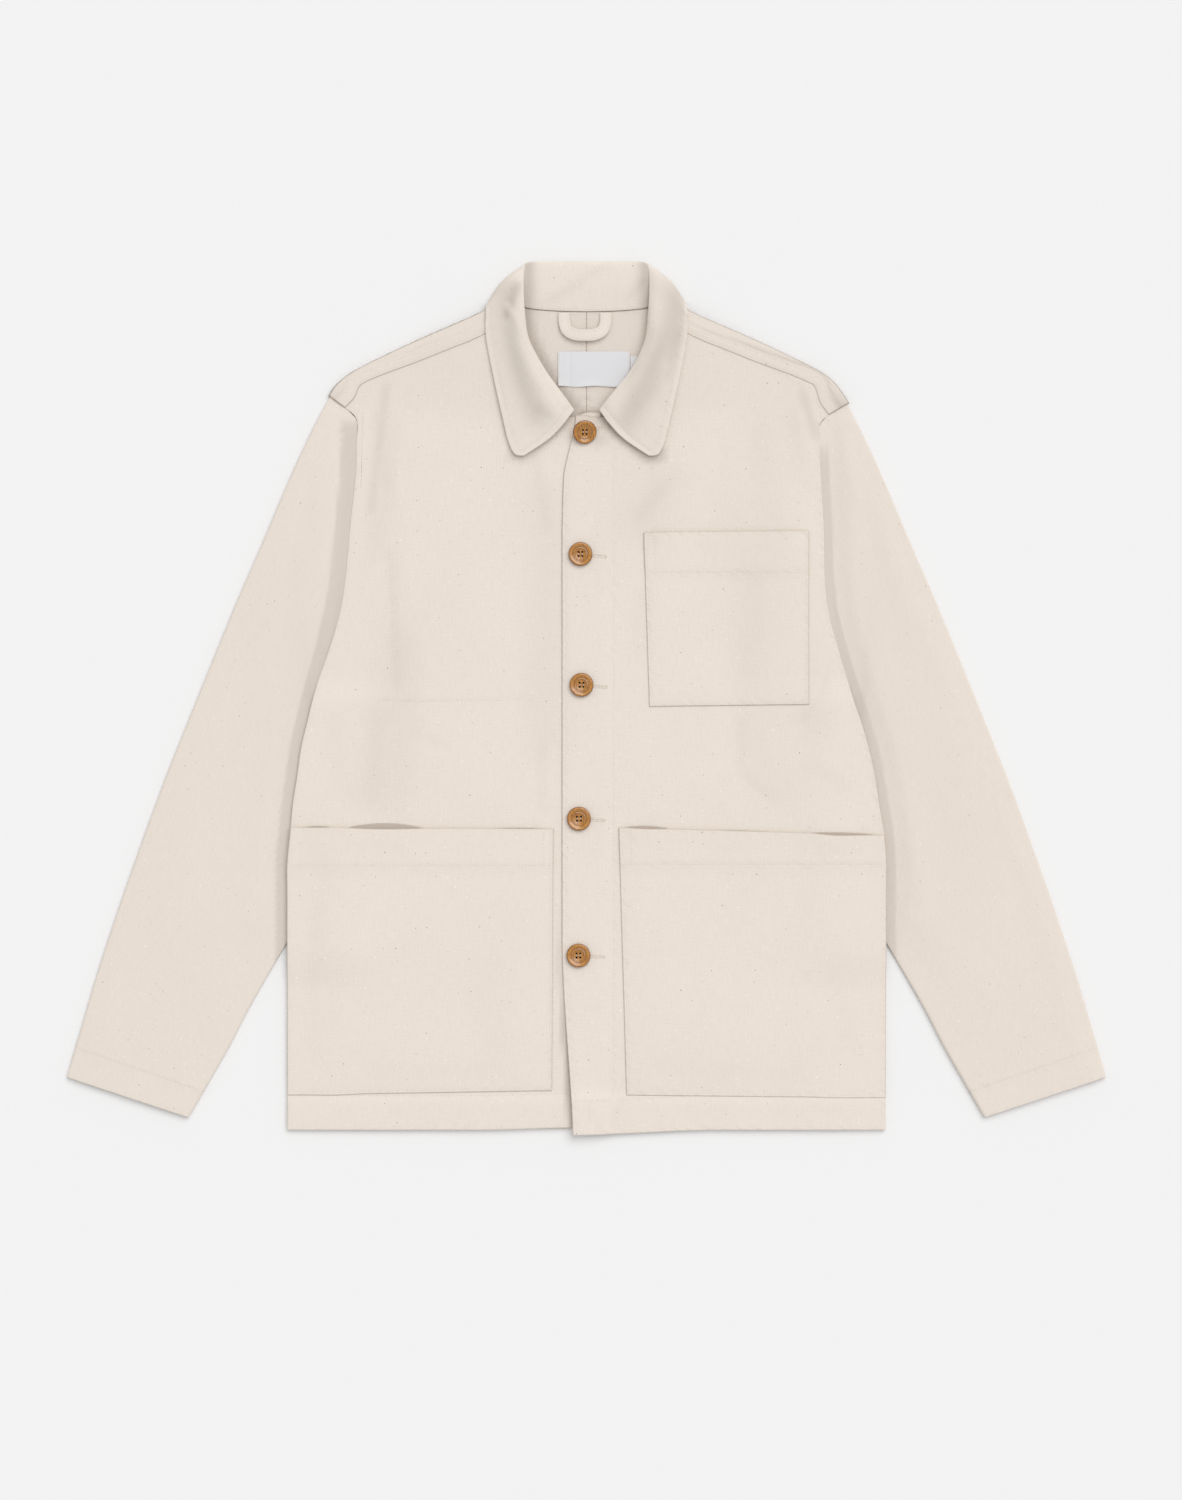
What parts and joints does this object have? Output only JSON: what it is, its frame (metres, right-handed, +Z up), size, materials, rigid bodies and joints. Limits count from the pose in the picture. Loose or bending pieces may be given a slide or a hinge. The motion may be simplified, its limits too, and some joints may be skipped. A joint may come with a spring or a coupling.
{
  "type": "chore jacket",
  "caption": "Chore jacket in heavy unbleached cotton, laid flat and buttoned, with a turned-down collar, patch pockets and long sleeves.",
  "frame": {"origin": "on the surface that the jacket lies on, below the middle of its bounding box", "axes": "+Z up from the surface, +Y along the centre back seam towards the collar, +X towards the wearer's left sleeve"},
  "size_m": [0.935, 0.7853, 0.0178],
  "materials": {
    "cloth": "matt unbleached cotton twill with small flecks",
    "tape": "smooth woven white tape",
    "button": "polished caramel nut"
  },
  "bodies": {
    "root": {"back_left": "cloth", "back_right": "cloth", "front_left": "cloth", "front_right": "cloth", "sleeve_left": "cloth", "sleeve_right": "cloth", "collar_upper": "cloth", "collar_under": "cloth", "pocket_left": "cloth", "pocket_right": "cloth", "pocket_chest": "cloth", "hanger_loop": "cloth", "label": "tape", "size_tab": "tape", "button_1": "button", "button_2": "button", "button_3": "button", "button_4": "button", "button_5": "button"}
  },
  "joints": []
}
